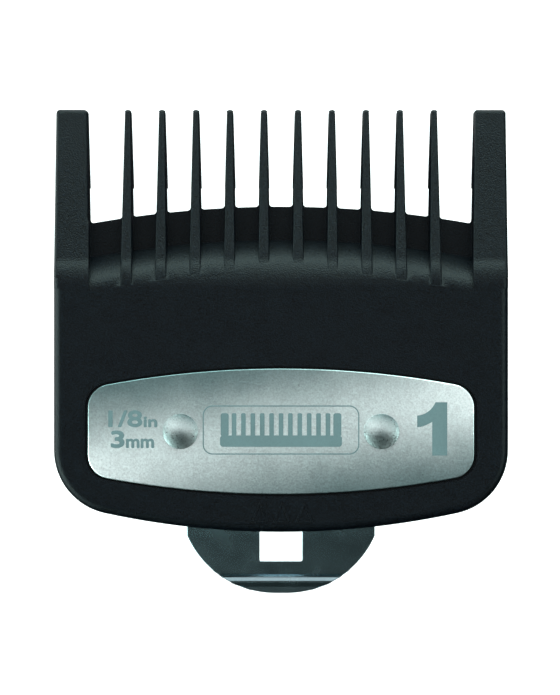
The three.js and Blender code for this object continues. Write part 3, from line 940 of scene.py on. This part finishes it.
def spring_clip(clip, plate):
    """The whole clip from one sheet: leaf, bend, run, catch, flap, bead and window."""
    middle = (LEAF_LOW.y + LEAF_HIGH.y) / 2
    line = bent_line([
        (middle, LEAF_HIGH.z + 1),
        (middle, clip.run_height, clip.bend),
        (clip.catch_foot, clip.run_height, clip.catch_round),
        (clip.catch_depth, clip.catch_height, clip.catch_round),
        (*clip.flap_bend_at, clip.flap_bend),
        (*clip.bead_top, clip.bead_crease),
        (*clip.bead_crest, clip.bead_crease),
        (*clip.bead_brow, clip.bead_round),
        (*clip.bead_foot, clip.bead_round),
        (clip.flap_end[0], clip.flap_end[1] - 0.3),
    ])
    reach = LEAF_HIGH.x + 1
    ribbon = bmesh.new()
    verts = [ribbon.verts.new((-reach, y, z)) for y, z in line]
    edges = [ribbon.edges.new(pair) for pair in zip(verts, verts[1:])]
    grown = bmesh.ops.extrude_edge_only(ribbon, edges=edges)["geom"]
    moved = [item for item in grown if isinstance(item, bmesh.types.BMVert)]
    bmesh.ops.translate(ribbon, verts=moved, vec=(2 * reach, 0, 0))
    piece = as_object(ribbon)
    wall = piece.modifiers.new("sheet", "SOLIDIFY")
    wall.thickness = clip.sheet
    wall.offset = 0
    wall.use_even_offset = True
    sheet = evaluated(piece)
    bmesh.ops.recalc_face_normals(sheet, faces=sheet.faces)
    behind = TONGUE_HIGH.y + 1
    sheet = combine(sheet, "INTERSECT", slab(clip_outline(clip), "Y", 0, behind))
    window_top = clip.catch_height + 2
    size = (2 * clip.window_half, window_top - clip.window_bottom)
    window = pill(
        *size, clip.window_corner, (0, (window_top + clip.window_bottom) / 2),
        (clip.window_front, behind))
    holes = mirrored(pin(RIVET_SPOT.x, RIVET_SPOT.z, plate.hole, LEAF_LOW.y - 1, LEAF_HIGH.y + 1))
    sheet = combine(sheet, "DIFFERENCE", window, holes)
    return bevelled(sheet, clip.edge_round, segments=2, sharper_than=50)


# ---- Materials ----


class Wire:
    """A node's output, on which Python's own sums add Math nodes."""

    def __init__(self, tree, socket):
        self.tree = tree
        self.socket = socket

    def math(self, operation, *others):
        values = dict(enumerate((self, *others)))
        return self.tree.node("ShaderNodeMath", {"operation": operation}, values)[0]

    def __add__(self, other):
        return self.math("ADD", other)

    def __sub__(self, other):
        return self.math("SUBTRACT", other)

    def __mul__(self, other):
        return self.math("MULTIPLY", other)

    __radd__ = __add__


class Tree:
    """A material's nodes, which are all added by one method."""

    def __init__(self, name):
        self.material = bpy.data.materials.new(name)
        self.material.use_nodes = True
        self.nodes = self.material.node_tree.nodes
        self.links = self.material.node_tree.links
        self.nodes.clear()

    def node(self, kind, settings, values):
        """Adds a node: first its settings, then its sockets' values or links."""
        made = self.nodes.new(kind)
        for key, value in settings.items():
            setattr(made, key, value)
        for key, value in values.items():
            if isinstance(value, Wire):
                self.links.new(value.socket, made.inputs[key])
            elif isinstance(value, (tuple, list)) and len(made.inputs[key].default_value) == 4:
                made.inputs[key].default_value = (*value, 1)
            else:
                made.inputs[key].default_value = value
        return [Wire(self, socket) for socket in made.outputs]

    def place(self):
        return self.node("ShaderNodeTexCoord", {}, {})[3]

    def noise(self, place, size):
        """Noise from 0 to 1 whose grains are about a size across, in millimetres."""
        values = {"Vector": place, "Scale": 1 / (size * MM), "Detail": 2.0}
        return self.node("ShaderNodeTexNoise", {}, values)[0]

    def mix(self, share, first, second):
        """A colour between two others."""
        settings = {"data_type": "RGBA"}
        return self.node("ShaderNodeMix", settings, {0: share, 6: first, 7: second})[2]

    def tinted(self, shade, amount):
        """A colour made lighter or darker by a factor."""
        settings = {"data_type": "RGBA", "blend_type": "MULTIPLY"}
        grey = self.node("ShaderNodeCombineColor", {}, {0: amount, 1: amount, 2: amount})[0]
        return self.node("ShaderNodeMix", settings, {0: 1.0, 6: shade, 7: grey})[2]

    def bump(self, height, distance, strength=1.0):
        values = {"Height": height, "Distance": distance * MM, "Strength": strength}
        return self.node("ShaderNodeBump", {}, values)[0]

    def surface(self, values):
        shader = self.node("ShaderNodeBsdfPrincipled", {}, values)[0]
        self.node("ShaderNodeOutputMaterial", {}, {"Surface": shader})
        return self.material


def moulded_nylon(shade):
    """Black nylon from a finely etched mould."""
    tree = Tree("moulded nylon")
    place = tree.place()
    grain = tree.noise(place, 0.15) - 0.5
    cloud = tree.noise(place, 2.2) - 0.5
    lightness = (grain * 7 + cloud * 0.4 + 1).math("MAXIMUM", 0.1)
    return tree.surface({
        "Base Color": tree.tinted(tuple(shade), lightness),
        "Roughness": grain * 0.4 + cloud * 0.1 + 0.36,
        "Specular IOR Level": 0.12,
        "Normal": tree.bump(grain, 0.05),
    })


def satin_plate_with_painted_sheen(dark, light):
    """Stainless sheet with a fine blasted grain, and a broad painted reflection: a sheen painted into its
    colour that runs across it.
    """
    tree = Tree("satin steel plate")
    place = tree.place()
    low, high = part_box("face_plate")
    across, _, up = tree.node("ShaderNodeSeparateXYZ", {}, {"Vector": place})
    u = across * (1 / high.x)
    v = (up - (low.z + high.z) / 2) * (2 / (high.z - low.z))
    # Painted reflection: a soft diagonal band of sheen, wobbled by a broad cloud and stronger towards the
    # plate's ends, is painted into the base colour. Away from the band the colour falls to painted shade.
    cloud = tree.noise(place, 5) - 0.5
    off_painted_sheen_band = v - u * 0.62 + cloud * 0.4 + 0.05
    painted_sheen_band = (off_painted_sheen_band * off_painted_sheen_band * -1.5).math("EXPONENT")
    crest = 0.6 + u * u * 0.4
    grain = tree.noise(place, 0.17) - 0.5
    shade = tree.mix(painted_sheen_band * crest, tuple(dark), tuple(light))
    return tree.surface({
        "Base Color": tree.tinted(shade, grain * 0.6 + 1),
        "Metallic": 1.0,
        "Roughness": grain * 0.3 + 0.36,
        "Normal": tree.bump(grain, 0.01),
    })


def rivet_steel_with_painted_shade(dark, light):
    """Rivet steel with painted shade on each head: a dark spot just below its middle, and darkening towards
    its upper right, standing for the dark parts of the dome's reflection.
    """
    tree = Tree("rivet steel")
    place = tree.place()
    low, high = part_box("rivet_right")
    radius = (high.x - low.x) / 2
    across, _, up = tree.node("ShaderNodeSeparateXYZ", {}, {"Vector": place})
    side = across.math("ABSOLUTE") - (low.x + high.x) / 2
    u = side * across.math("SIGN") * (1 / radius)
    v = (up - (low.z + high.z) / 2) * (1 / radius)
    # Painted shade: a dark spot centred below each head's middle, and darkening towards the head's upper
    # right.
    lower = v + 0.35
    painted_dark_spot = ((u * u + lower * lower) * -3.6).math("EXPONENT") * 0.7
    brow = ((v + u * 0.4 - 0.15) * 1.1).math("MAXIMUM", 0)
    grain = tree.noise(place, 0.17) - 0.5
    share = (painted_dark_spot + brow).math("MINIMUM", 1)
    return tree.surface({
        "Base Color": tree.tinted(tree.mix(share, tuple(light), tuple(dark)), grain * 0.6 + 1),
        "Metallic": 1.0,
        "Roughness": grain * 0.2 + 0.31,
        "Normal": tree.bump(grain, 0.008),
    })


def plain_steel(name, shade, rough):
    """Bright or dull steel with a fine grain."""
    tree = Tree(name)
    place = tree.place()
    grain = tree.noise(place, 0.2)
    cloud = tree.noise(place, 3)
    return tree.surface({
        "Base Color": tree.tinted(tuple(shade), 0.84 + grain * 0.2 + cloud * 0.12),
        "Metallic": 1.0,
        "Roughness": rough + cloud * 0.08,
        "Normal": tree.bump(grain, 0.004, 0.5),
    })


def floor_finish(shade):
    """A pale matt floor that lights itself a little."""
    tree = Tree("pale floor")
    return tree.surface({
        "Base Color": tuple(shade),
        "Roughness": 0.9,
        "Emission Color": tuple(shade),
        "Emission Strength": 1.0,
    })


# ---- Stage ----


def lamp(name, place, target, size, power, tint=(1, 1, 1)):
    """A rectangular soft light at a place, aimed at a target, all in metres."""
    data = bpy.data.lights.new(name, "AREA")
    data.shape = "RECTANGLE"
    data.size, data.size_y = size
    data.energy = power
    data.color = tint
    holder = bpy.data.objects.new(name, data)
    holder.location = place
    aim = Vector(target) - Vector(place)
    holder.rotation_euler = aim.to_track_quat("-Z", "Y").to_euler()
    holder.visible_camera = False
    bpy.context.scene.collection.objects.link(holder)


def studio_lights():
    """Soft lights round the object. None of them stands in the camera's view."""
    cool = (0.72, 1.0, 0.96)
    plain = (0.95, 1.0, 1.0)
    middle = (0, 0, -0.013)
    lamp("top softbox", (0, -0.37, 0.63), middle, (0.9, 0.45), 13.0, cool)
    lamp("overhead softbox", (0, 0.0, 0.75), middle, (0.8, 0.4), 2.0, cool)
    lamp("front card", (0, -0.95, 0.2), middle, (1.1, 0.55), 2.4, plain)
    lamp("left strip", (-0.64, -0.16, 0.0), middle, (0.55, 0.7), 8.0, cool)
    lamp("low left card", (-0.56, -0.3, -0.42), middle, (0.8, 0.6), 6.8, cool)
    lamp("right strip", (0.6, -0.45, 0.05), middle, (0.35, 0.7), 4.0, cool)
    lamp("low right card", (0.4, -0.4, -0.5), middle, (0.3, 0.3), 0.5, plain)
    lamp("back softbox", (0.25, 0.55, 0.6), middle, (0.6, 0.6), 9.0)
    lamp("back left card", (-0.7, 0.35, 0.25), middle, (0.4, 0.5), 4.0)


def studio_floor(stage, finish):
    """A round floor that turns up into a wall far behind."""
    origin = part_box("comb_body")[0]
    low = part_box("clip_tongue")[0].z - stage.floor_drop * MM
    flat = stage.floor_radius * MM
    bend = 0.5
    wall_top = 2.2
    profile = [
        (0, 0), (flat * 0.5, 0), (flat, 0), *arc((flat, bend), bend, -90, 0, 10),
        (flat + bend, wall_top),
    ]
    shape = bmesh.new()
    line = [shape.verts.new((x, 0, z)) for x, z in profile]
    edges = [shape.edges.new(pair) for pair in zip(line, line[1:])]
    bmesh.ops.spin(
        shape, geom=line + edges, cent=(0, 0, 0), axis=(0, 0, 1), angle=math.tau, steps=64,
        use_merge=True)
    bmesh.ops.remove_doubles(shape, verts=shape.verts, dist=1e-5)
    bmesh.ops.translate(shape, verts=shape.verts, vec=(0, origin.y, low))
    for face in shape.faces:
        face.smooth = True
    floor = as_object(shape, "studio_floor")
    floor.data.materials.append(floor_finish(finish.floor))
    floor.visible_glossy = False
    floor.visible_diffuse = False
    floor.visible_shadow = False
    floor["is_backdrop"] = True


def studio_camera(stage):
    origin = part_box("comb_body")[0]
    data = bpy.data.cameras.new("camera")
    data.lens = stage.lens
    data.clip_start = 0.01
    data.clip_end = 20
    camera = bpy.data.objects.new("camera", data)
    camera.location = (
        -stage.camera_side * MM, origin.y - stage.camera_distance * MM, origin.z + stage.camera_height * MM)
    camera.rotation_euler = (math.radians(90), 0, 0)
    bpy.context.scene.collection.objects.link(camera)
    bpy.context.scene.camera = camera


def studio_world():
    world = bpy.data.worlds.new("studio")
    world.use_nodes = True
    world.node_tree.nodes["Background"].inputs["Color"].default_value = (1, 1, 1, 1)
    world.node_tree.nodes["Background"].inputs["Strength"].default_value = 1
    world.cycles_visibility.glossy = False
    world.cycles_visibility.diffuse = False
    bpy.context.scene.world = world
    bpy.context.scene.view_settings.view_transform = "Standard"


# ---- Operators, panel and registration ----


class GUARDCOMB_OT_comb(bpy.types.Operator):
    """Builds the moulded comb"""

    bl_idname = "guard_comb.comb"
    bl_label = "Moulded comb"

    def execute(self, context):
        comb = sizes_of(context, "guard_comb")
        teeth = sizes_of(context, "guard_teeth")
        plate = sizes_of(context, "guard_plate")
        nylon = moulded_nylon(context.scene.guard_finishes.nylon)
        shape = comb_moulding(comb, teeth, plate)
        finished(shape, "comb_moulding", nylon, "comb", ["comb_body"])
        finished(moulded_arrows(), "moulded_arrows", nylon, "comb", [])
        return {"FINISHED"}


class GUARDCOMB_OT_plate(bpy.types.Operator):
    """Builds the face plate and its etched marks"""

    bl_idname = "guard_comb.plate"
    bl_label = "Face plate"

    def execute(self, context):
        plate = sizes_of(context, "guard_plate")
        colours = context.scene.guard_finishes
        steel = satin_plate_with_painted_sheen(colours.plate_painted_shade, colours.plate_painted_highlight)
        etched = plain_steel("etched steel", colours.mark, rough=0.5)
        finished(
            face_plate(plate), "steel_face_plate", steel, "comb",
            ["face_plate"])
        finished(plate_marks(plate), "plate_marks", etched, "comb", [])
        return {"FINISHED"}


class GUARDCOMB_OT_rivets(bpy.types.Operator):
    """Builds the two rivets"""

    bl_idname = "guard_comb.rivets"
    bl_label = "Rivets"

    def execute(self, context):
        rivet = sizes_of(context, "guard_rivets")
        colours = context.scene.guard_finishes
        steel = rivet_steel_with_painted_shade(colours.rivet_painted_shade, colours.rivet)
        finished(
            rivet_pair(rivet), "domed_rivets", steel, "comb",
            ["rivet_left", "rivet_right"])
        return {"FINISHED"}


class GUARDCOMB_OT_clip(bpy.types.Operator):
    """Builds the spring clip"""

    bl_idname = "guard_comb.clip"
    bl_label = "Spring clip"

    def execute(self, context):
        clip = sizes_of(context, "guard_clip")
        plate = sizes_of(context, "guard_plate")
        steel = plain_steel("spring steel", context.scene.guard_finishes.clip, rough=0.225)
        piece = finished(
            spring_clip(clip, plate), "spring_clip_sheet", steel, None,
            ["clip_leaf", "clip_tongue"])
        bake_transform(piece)
        return {"FINISHED"}


class GUARDCOMB_OT_stage(bpy.types.Operator):
    """Builds the camera, floor, lights and world"""

    bl_idname = "guard_comb.stage"
    bl_label = "Studio stage"

    def execute(self, context):
        stage = sizes_of(context, "guard_stage")
        studio_camera(stage)
        studio_floor(stage, context.scene.guard_finishes)
        studio_lights()
        studio_world()
        return {"FINISHED"}


OPERATORS = [
    GUARDCOMB_OT_comb, GUARDCOMB_OT_plate, GUARDCOMB_OT_rivets, GUARDCOMB_OT_clip,
    GUARDCOMB_OT_stage,
]
GROUPS = {
    "guard_comb": CombSizes,
    "guard_teeth": TeethSizes,
    "guard_plate": PlateSizes,
    "guard_rivets": RivetSizes,
    "guard_clip": ClipSizes,
    "guard_finishes": Finishes,
    "guard_stage": StageSizes,
}


class GUARDCOMB_PT_panel(bpy.types.Panel):
    """The pieces, with their sizes and colours"""

    bl_label = "Guard comb"
    bl_idname = "GUARDCOMB_PT_panel"
    bl_space_type = "VIEW_3D"
    bl_region_type = "UI"
    bl_category = "Guard comb"

    def draw(self, context):
        for operator in OPERATORS:
            self.layout.operator(operator.bl_idname)
        for name in GROUPS:
            group = getattr(context.scene, name)
            box = self.layout.box()
            for key in group.__annotations__:
                box.prop(group, key)


def register():
    for kind in (*GROUPS.values(), *OPERATORS, GUARDCOMB_PT_panel):
        bpy.utils.register_class(kind)
    for name, group in GROUPS.items():
        setattr(bpy.types.Scene, name, PointerProperty(type=group))


def unregister():
    for name in GROUPS:
        delattr(bpy.types.Scene, name)
    for kind in (GUARDCOMB_PT_panel, *reversed(OPERATORS), *reversed(GROUPS.values())):
        bpy.utils.unregister_class(kind)


def main():
    register()
    bpy.ops.guard_comb.stage()
    bpy.ops.guard_comb.comb()
    bpy.ops.guard_comb.plate()
    bpy.ops.guard_comb.rivets()
    bpy.ops.guard_comb.clip()
    boxes = {"cad": cad_bounds, "visual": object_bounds()}
    plain = {name: [list(corner) for corner in box] for name, box in boxes.items()}


if __name__ == "__main__":
    main()
